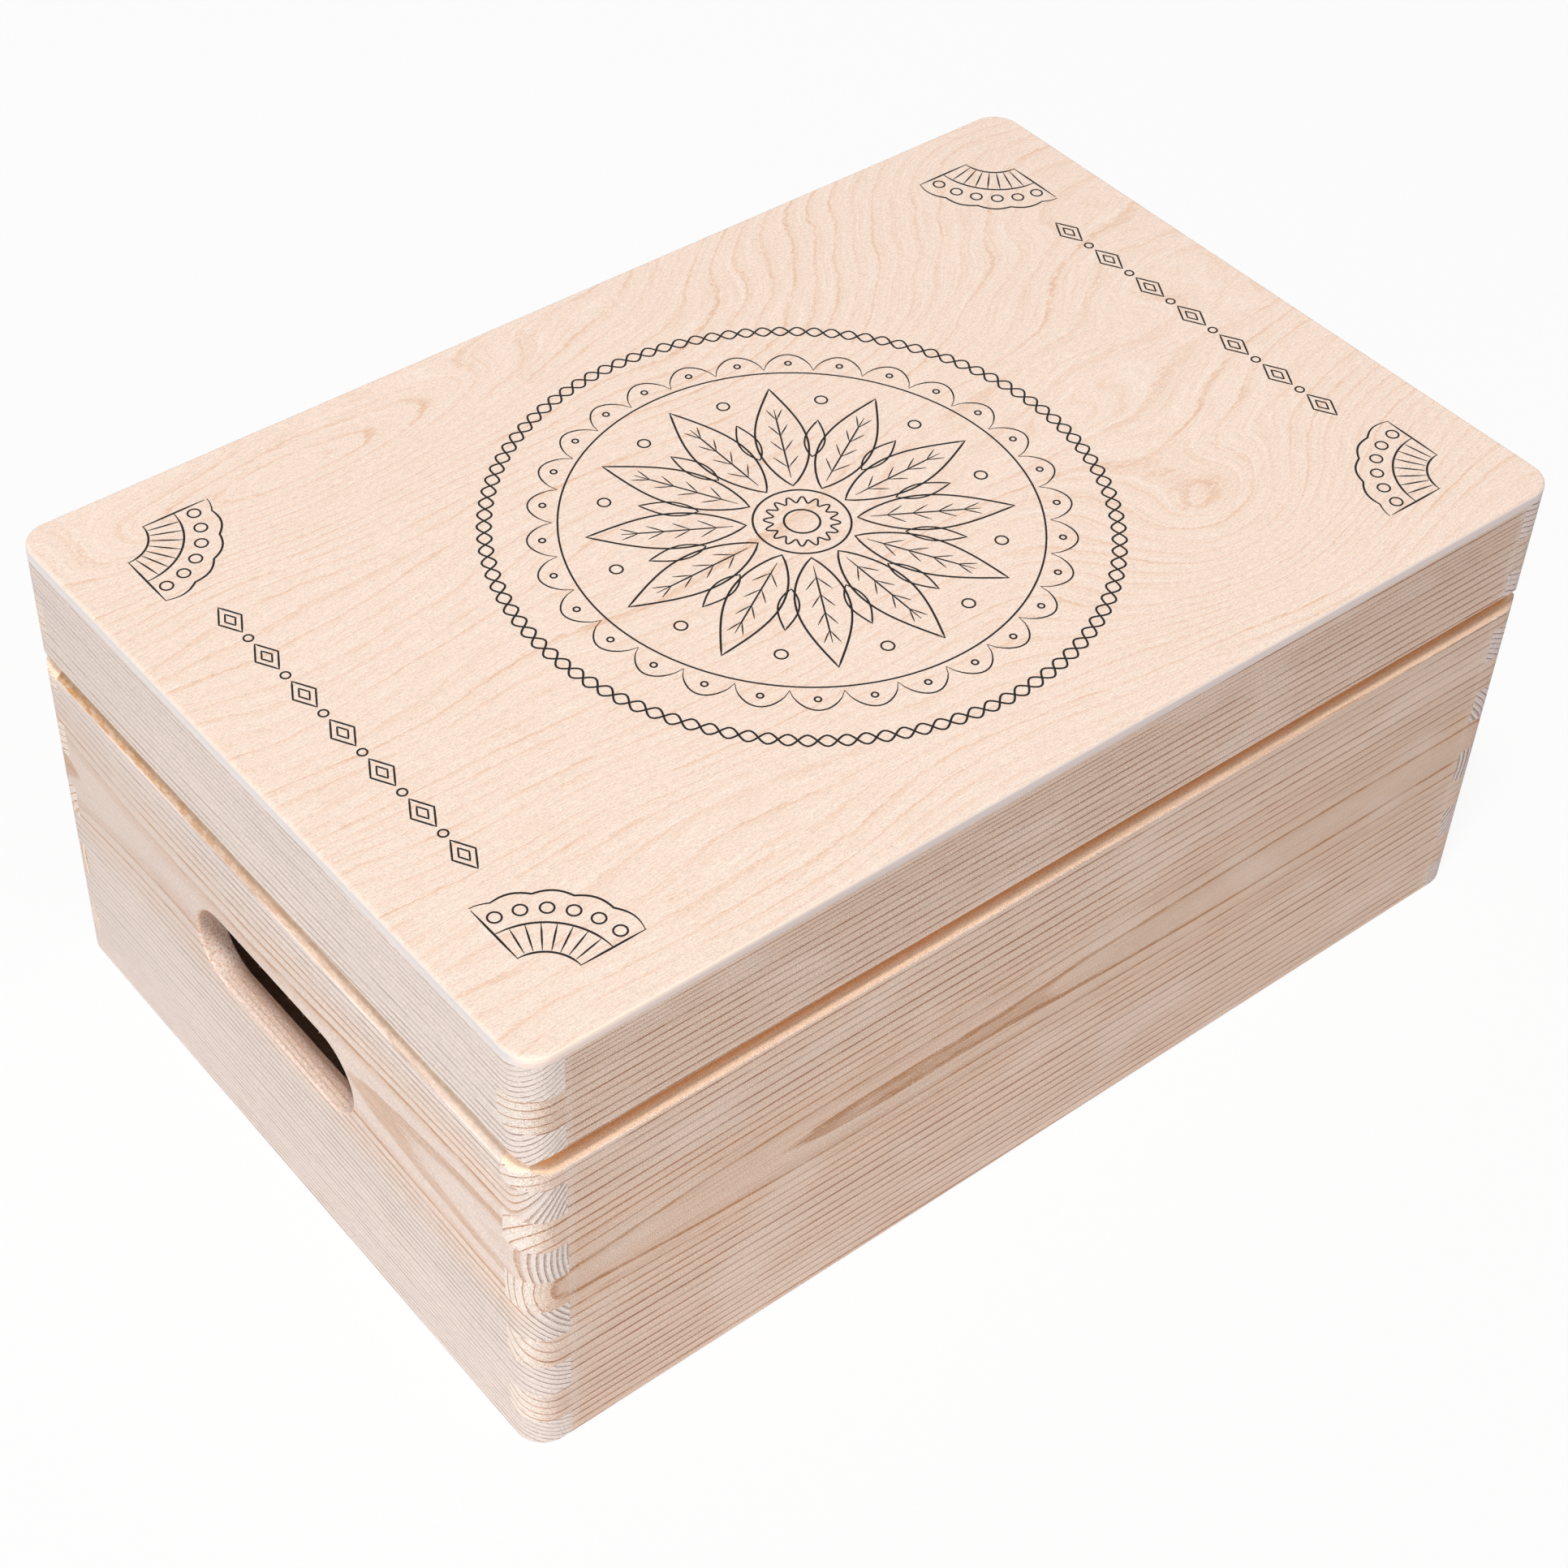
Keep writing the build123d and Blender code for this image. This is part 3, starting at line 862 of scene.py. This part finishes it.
def birch_plywood(name, node, shift):
    """Three plies between pale veneers. The veneer was peeled off a turning log, so the year
    rings lie on it as faint contour lines. shift moves its figure about.
    """
    made, root, shader = finish_of(name)
    x, y, z = object_place(root)
    low, high = (corner.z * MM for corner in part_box(node))
    layer = (z - low) / (high - low)
    under = 1 - layer.rise(0.3, 0.7)
    x = x + under * (shift + UNDER_SHIFT_X) * UNDER_STRETCH
    y = y + shift + under * UNDER_SHIFT_Y
    level = veneer_figure(root, x, y)
    ragged = cloud(at(root, x, y, 3.0), (7.0, 1.4, 1.0), detail=3.0, roughness=0.7) - 0.5
    wavy = level * CONTOURS_IN_A_YEAR + ragged * 0.6
    ring_part = root.math("FRACT", wavy)
    ring_year = chance(root.math("FLOOR", wavy))
    patch = cloud(at(root, x, y, 2.0), (30.0, 11.0, 1.0), roughness=0.6).rise(0.38, 0.66)
    edge = 1 - ring_part.rise(0.955, 1.0)
    contour = ring_part.rise(0.78, 0.94) * edge * (0.20 + 0.80 * ring_year)
    shadow_side = ring_part.rise(0.30, 0.95) * edge * 0.16

    # Between the contours run short wavy streaks, fibres and the fine grey marks of pores
    streak = cloud(at(root, x, level, 4.0), (13.0, 0.0625, 1.0), detail=3.0, roughness=0.72)
    fleck = cloud(at(root, x + y * 0.22, y, 9.0), (2.2, 0.26, 1.0), roughness=0.75)
    weave = cloud(at(root, x, y, 5.0), (0.62, 0.26, 1.0), detail=1.0, roughness=0.8)
    pore = cloud(at(root, x, y, 3.0), (1.4, 0.16, 1.0), detail=1.0).rise(0.66, 0.76)
    cast = cloud(at(root, x, y, 8.0), (60.0, 45.0, 1.0), detail=1.0)
    veneer = blend(root, cast, (0.945, 0.765, 0.655), (0.925, 0.735, 0.61))
    drawn = (contour * 0.85 + shadow_side) * (0.45 + 0.55 * patch)
    veneer = blend(root, drawn, veneer, (0.81, 0.52, 0.36))
    veneer = blend(root, streak.rise(0.50, 0.72) * 0.50, veneer, (0.84, 0.58, 0.41))
    veneer = blend(root, (1 - streak.rise(0.30, 0.48)) * 0.55, veneer, (1.0, 0.87, 0.77))
    veneer = blend(root, pore * 0.22, veneer, (0.62, 0.45, 0.35))
    veneer = shaded(veneer, 1.01 + 0.65 * (fleck - 0.5) + 0.70 * (weave - 0.5))

    # The veneers cover both faces, and the plies show between them round the edge
    flat = facing(root, "Z").rise(0.45, 0.80)
    covered = root.math("MAXIMUM", layer.rise(0.86, 0.97), flat)
    connect(blend(root, covered, ply_edge(root, x, y, z, layer), veneer), shader, "Base Color")
    connect(0.52 + 0.12 * fleck, shader, "Roughness")
    emboss(shader, fleck * 0.6 - pore * 0.5 + weave * 0.5, strength=0.25, depth=0.00006)
    shader.inputs["Specular IOR Level"].default_value = 0.4
    return made


eased("bottom_panel", PANEL_EASE, "body", birch_plywood("bottom_plywood", "bottom_panel", 47.0))

# Lid rim
# The upper strip of the same four boards, parted from the body by a saw once they were glued,
# so the grain runs on across the seam.
for rail, wood in (
    ("lid_front_rail", front_pine),
    ("lid_back_rail", back_pine),
    ("lid_left_rail", left_pine),
    ("lid_right_rail", right_pine),
):
    eased(rail, BOARD_EASE, "lid", wood)

# Lid panel
# Birch plywood like the bottom. It is glued on the rim and sanded flush with it, and its upper
# edge is rounded.
eased("lid_panel", PANEL_EASE, "lid", birch_plywood("lid_plywood", "lid_panel", 0.0))

# Print on the lid
# Black ink laid on the bare veneer by a flatbed printer, as thin lines that stand a little
# proud: a compass flower in two rings, a quarter fan in each corner and a chain at each end.
LINE = 0.52
DOT_LINE = 0.46
SMALL_LINE = 0.45
RIB_LINE = 0.42
SCALLOP_LINE = 0.40
VEIN_LINE = 0.34
INK_PROUD = 0.04
INK_SUNK = 0.03
STROKE_STEP = 0.00005
TAPERED_PART = 0.18
THIN_END = 0.35
SMALL_RING = 1.5
PRINT_MIDDLE = (-3.0, -4.0)
FAN_CORNER_X = 134.0
FAN_CORNER_Y = 84.0
FAN_ARCS = ((9.0, 0.0), (17.0, 0.0), (25.0, 0.9))
FAN_RIB = (9.4, 12.0, 14.5, 16.7)
FAN_EDGE = (8.8, 14.0, 20.0, 25.2)
FAN_RINGS_OUT = 21.0
CHAIN_X = 126.0
FULL_TURN = 2 * math.pi
QUARTER_TURN = math.pi / 2
panel_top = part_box("lid_panel")[1].z * MM
ink_work = bmesh.new()
stroke_numbers = itertools.count()


def stroke(points, width=LINE, closed=False):
    """One drawn line along points in millimetres. Open lines thin out at both ends."""
    proud = panel_top + INK_PROUD + STROKE_STEP * next(stroke_numbers)
    count = len(points)
    rails = []
    for k, (px, py) in enumerate(points):
        before = points[k - 1] if closed or k > 0 else points[k]
        after = points[(k + 1) % count] if closed or k < count - 1 else points[k]
        tx, ty = after[0] - before[0], after[1] - before[1]
        length = math.hypot(tx, ty) or 1.0
        nearest = 1.0 if closed else min(k, count - 1 - k) / max(1.0, TAPERED_PART * count)
        half = width / 2 * (THIN_END + (1 - THIN_END) * min(1.0, nearest))
        nx, ny = -ty / length * half, tx / length * half
        rails.append([
            ink_work.verts.new([c / MM for c in corner])
            for corner in (
                (px + nx, py + ny, proud),
                (px - nx, py - ny, proud),
                (px - nx, py - ny, panel_top - INK_SUNK),
                (px + nx, py + ny, panel_top - INK_SUNK),
            )
        ])
    for k in range(count if closed else count - 1):
        here, there = rails[k], rails[(k + 1) % count]
        for side in range(4):
            other = (side + 1) % 4
            ink_work.faces.new((here[side], here[other], there[other], there[side]))
    if not closed:
        ink_work.faces.new(list(reversed(rails[0])))
        ink_work.faces.new(rails[-1])


def polar(radius, angle, centre=PRINT_MIDDLE):
    """The point at this radius and angle from the centre."""
    return centre[0] + radius * math.cos(angle), centre[1] + radius * math.sin(angle)


def ring_round(centre, radius, steps, wave=0.0, waves=0, phase=0.0):
    """Points of a ring, waving in and out where wave is given."""
    made = []
    for k in range(steps):
        angle = FULL_TURN * k / steps
        made.append(polar(radius + wave * math.sin(waves * angle + phase), angle, centre))
    return made


def turned(points, angle, centre=PRINT_MIDDLE, mirror=1.0):
    """The points turned about 0, 0 and then moved to the centre."""
    c, s = math.cos(angle), math.sin(angle)
    return [(centre[0] + c * u - s * v * mirror, centre[1] + s * u + c * v * mirror) for u, v in points]


def petal(start, finish, half_width, steps):
    """A closed pointed leaf along +x, from start to finish."""
    upper = []
    for k in range(steps + 1):
        t = k / steps
        upper.append((start + (finish - start) * t, half_width * math.sin(math.pi * t ** 0.85)))
    return upper + [(u, -v) for u, v in reversed(upper[1:-1])]


def rope_ring(radius=73.0, twist=1.7, turns=54):
    """Two waving rings that cross like the strands of a rope."""
    for phase in (0.0, math.pi):
        stroke(ring_round(PRINT_MIDDLE, radius, 12 * turns, twist, turns, phase), closed=True)


def scallop_ring(inner=56.2, foot=57.5, rise=6.0, dot_out=60.0, scallops=30, steps=14):
    """A row of scallops with a dot in each, on a plain ring."""
    for k in range(scallops):
        middle = FULL_TURN * (k + 0.5) / scallops
        arc = []
        for step in range(steps + 1):
            t = step / steps
            angle = middle + (t - 0.5) * FULL_TURN / scallops
            arc.append(polar(foot + rise * math.sin(math.pi * t) ** 0.7, angle))
        stroke(arc, SCALLOP_LINE)
        stroke(ring_round(polar(dot_out, middle), 0.75, steps=14), DOT_LINE, closed=True)
    stroke(ring_round(PRINT_MIDDLE, inner, steps=160), DOT_LINE, closed=True)


def veined_petal(angle, start=13.0, finish=50.0, half_width=6.2):
    """A long petal with a middle line and four pairs of veins."""
    stroke(turned(petal(start, finish, half_width, steps=22), angle), closed=True)
    stroke(turned([(start + 3.0 + 2.6 * n, 0.0) for n in range(11)], angle), RIB_LINE)
    for rib in range(4):
        vein_start = start + 7.0 + 6.0 * rib
        shrink = 1.0 - 0.12 * rib
        vein = [(vein_start + 1.3 * n, (0.15 + 0.95 * n) * shrink) for n in range(4)]
        for mirror in (1.0, -1.0):
            stroke(turned(vein, angle, mirror=mirror), VEIN_LINE)


def compass_flower(petals=12):
    """Long and short petals by turns round a ringed middle, a small ring off each short one."""
    for k in range(petals):
        angle = FULL_TURN * k / petals
        veined_petal(angle)
        between = angle + FULL_TURN / petals / 2
        stroke(turned(petal(24.0, 38.0, 2.4, steps=14), between), SMALL_LINE, closed=True)
        stroke(ring_round(polar(46.0, between), SMALL_RING, steps=18), SMALL_LINE, closed=True)
    for radius in (4.2, 11.4):
        stroke(ring_round(PRINT_MIDDLE, radius, steps=64), closed=True)
    stroke(ring_round(PRINT_MIDDLE, 7.8, steps=160, wave=1.1, waves=16), SMALL_LINE, closed=True)


def quarter_fan(corner, turn, ribs=8, rings=6, scallops=9, steps=36):
    """A fan in a corner of the lid, with ribs, three arcs and a row of rings."""
    for radius, wave in FAN_ARCS:
        arc = []
        for step in range(steps + 1):
            angle = QUARTER_TURN * step / steps
            arc.append(polar(radius + wave * abs(math.sin(scallops * angle)), angle, (0.0, 0.0)))
        stroke(turned(arc, turn, corner))
    for rib in range(ribs + 1):
        ray = [polar(r, QUARTER_TURN * rib / ribs, (0.0, 0.0)) for r in FAN_RIB]
        stroke(turned(ray, turn, corner), RIB_LINE)
    for edge_turn in (turn, turn + QUARTER_TURN):
        stroke(turned([(r, 0.0) for r in FAN_EDGE], edge_turn, corner))
    for ring in range(rings):
        middle = polar(FAN_RINGS_OUT, QUARTER_TURN * (ring + 0.5) / rings + turn, corner)
        stroke(ring_round(middle, SMALL_RING, steps=18), SMALL_LINE, closed=True)


def chain(chain_x, links=7, pitch=15.0, half_width=2.9, half_height=5.0, steps=5):
    """A chain of double lozenges with a small ring between each two."""
    corners = [(0.0, -half_height), (half_width, 0.0), (0.0, half_height), (-half_width, 0.0)]
    outline = []
    for a, b in zip(corners, corners[1:] + corners[:1]):
        step_x, step_y = (b[0] - a[0]) / steps, (b[1] - a[1]) / steps
        outline += [(a[0] + step_x * t, a[1] + step_y * t) for t in range(steps)]
    for link in range(links):
        link_y = pitch * (link - (links - 1) / 2)
        for size, width in ((1.0, DOT_LINE), (0.45, RIB_LINE)):
            stroke([(chain_x + size * u, link_y + size * v) for u, v in outline], width, closed=True)
        if link < links - 1:
            between = (chain_x, link_y + pitch / 2)
            stroke(ring_round(between, 1.1, steps=16), SMALL_LINE, closed=True)


def black_ink():
    """Matt black ink, a little uneven where the veneer drinks it."""
    made, root, shader = finish_of("black_ink")
    soak = cloud(at(root, *object_place(root)), (1.5, 0.4, 0.4), detail=3.0, roughness=0.7)
    connect(blend(root, soak, (0.003, 0.003, 0.003), (0.018, 0.016, 0.015)), shader, "Base Color")
    connect(0.50 + 0.25 * soak, shader, "Roughness")
    emboss(shader, soak, strength=0.2, depth=0.00003)
    shader.inputs["Specular IOR Level"].default_value = 0.2
    return made


rope_ring()
scallop_ring()
compass_flower()
quarter_fan((-FAN_CORNER_X, -FAN_CORNER_Y), 0.0)
quarter_fan((FAN_CORNER_X, FAN_CORNER_Y), math.pi)
quarter_fan((FAN_CORNER_X, -FAN_CORNER_Y), QUARTER_TURN)
quarter_fan((-FAN_CORNER_X, FAN_CORNER_Y), -QUARTER_TURN)
chain(-CHAIN_X)
chain(CHAIN_X)
bmesh.ops.recalc_face_normals(ink_work, faces=ink_work.faces)
piece_of("lid_print", ink_work, black_ink(), "lid")

# Hinges
# Small brass butt hinges, let into both rims at the back. The leaves are stamped from sheet and
# rolled into knuckles. Countersunk brass screws hold each leaf.
METAL_EASE = 0.00006


def hinge_brass():
    """Plated brass with fine scuffs, a light haze and a few spots."""
    made, root, shader = finish_of("hinge_brass")
    place = at(root, *object_place(root))
    scuff = cloud(place, (0.25, 2.2, 2.2), detail=3.0, roughness=0.7)
    haze = cloud(place, (5.0, 5.0, 5.0))
    spot = cloud(place, (0.9, 0.9, 0.9), detail=1.0).rise(0.66, 0.72)
    gold = blend(root, haze, (0.74, 0.52, 0.22), (0.86, 0.66, 0.34))
    connect(blend(root, spot * 0.5, gold, (0.42, 0.26, 0.11)), shader, "Base Color")
    connect(0.22 + 0.24 * scuff + 0.2 * spot, shader, "Roughness")
    emboss(shader, scuff - spot, strength=0.3, depth=0.00003)
    shader.inputs["Metallic"].default_value = 1.0
    return made


brass = hinge_brass()
for side in ("left", "right"):
    for body in ("body", "lid"):
        for part in ("leaf", "screws"):
            eased(f"{side}_hinge_{body}_{part}", METAL_EASE, body, brass)

# Hinge pins
# Drawn steel wire, headed at both ends. Each pin is driven through the body leaf's knuckles,
# and the lid leaf's knuckle turns on it.
def hinge_steel():
    """Bright steel with the fine lines that the drawing die leaves along it."""
    made, root, shader = finish_of("hinge_steel")
    drawn = cloud(at(root, *object_place(root)), (4.0, 0.08, 0.08), detail=3.0)
    connect(blend(root, drawn, (0.50, 0.49, 0.47), (0.72, 0.71, 0.69)), shader, "Base Color")
    connect(0.20 + 0.25 * drawn, shader, "Roughness")
    emboss(shader, drawn, strength=0.3, depth=0.00002)
    shader.inputs["Metallic"].default_value = 1.0
    return made


steel = hinge_steel()
for side in ("left", "right"):
    eased(f"{side}_hinge_pin", METAL_EASE, "body", steel)

# Table and backdrop
# A plain white sheet, far larger than the box, in a white room. Seen straight on or as a
# reflection, both are white, and the sheet keeps some of the box's shadow.
SHEET_REACH = 6.0
SHEET_WHITE = 0.80
SHEET_GLOW = 0.9
ROOM_LIGHT = 0.22


def looked_at(root):
    """1 for what the camera sees, straight on or as a reflection, and 0 for light on the box."""
    camera_ray, glossy_ray = (
        root.node("ShaderNodeLightPath", output=n) for n in ("Is Camera Ray", "Is Glossy Ray")
    )
    return root.math("MAXIMUM", camera_ray, glossy_ray)


floor_mesh = bpy.data.meshes.new("floor")
sheet_corners = ((-1, -1), (1, -1), (1, 1), (-1, 1))
floor_points = [(x * SHEET_REACH, y * SHEET_REACH, 0.0) for x, y in sheet_corners]
floor_mesh.from_pydata(floor_points, [], [(0, 1, 2, 3)])
floor = bpy.data.objects.new("floor", floor_mesh)
bpy.context.scene.collection.objects.link(floor)
white_sheet, root, shader = finish_of("white_sheet")
shader.inputs["Base Color"].default_value = (SHEET_WHITE, SHEET_WHITE, SHEET_WHITE, 1.0)
shader.inputs["Roughness"].default_value = 0.9
glow = root.node("ShaderNodeEmission", inputs={"Color": (1.0, 1.0, 1.0, 1.0), "Strength": 1.0})
lit = Wire(root.tree, shader.outputs[0])
shown = root.node("ShaderNodeMixShader", inputs={0: looked_at(root) * SHEET_GLOW, 1: lit, 2: glow})
connect(shown, root.tree.nodes["Material Output"], "Surface")
floor_mesh.materials.append(white_sheet)

room = bpy.data.worlds.new("studio")
room.use_nodes = True
background = room.node_tree.nodes["Background"]
background.inputs["Color"].default_value = (1.0, 1.0, 1.0, 1.0)
strength = ROOM_LIGHT + (1 - ROOM_LIGHT) * looked_at(Wire(room.node_tree))
connect(strength, background, "Strength")
bpy.context.scene.world = room

# Lamps
# Three softboxes: the key light high over the left front, a large one low on the left, and a
# weak one in front that opens the shadows.
AIM = Vector((0.0, 0.0, 0.06))


def softbox(name, place, size, power):
    """A square area lamp that faces the box."""
    lamp = bpy.data.lights.new(name, "AREA")
    lamp.shape = "SQUARE"
    lamp.size = size
    lamp.energy = power
    made = bpy.data.objects.new(name, lamp)
    made.location = place
    made.rotation_euler = (AIM - made.location).to_track_quat("-Z", "Y").to_euler()
    bpy.context.scene.collection.objects.link(made)


softbox("key_light", place=(-0.85, -0.60, 3.30), size=0.56, power=82.5)
softbox("left_light", place=(-1.87, -0.55, 0.38), size=1.2, power=11.4)
softbox("front_light", place=(0.30, -2.20, 0.80), size=1.2, power=2.9)

# Camera
# It stands to the left of the front corner and looks down on the lid.
lens = bpy.data.cameras.new("camera")
lens.sensor_width = 36.0
lens.lens = 69.797
lens.shift_x = 0.03522
lens.shift_y = 0.03887
camera = bpy.data.objects.new("camera", lens)
camera.location = (-0.36105, -0.41142, 0.58113)
camera.rotation_euler = [math.radians(angle) for angle in (44.2919, -1.4602, -38.3204)]
bpy.context.scene.collection.objects.link(camera)
bpy.context.scene.camera = camera
bpy.context.scene.view_settings.view_transform = "Standard"
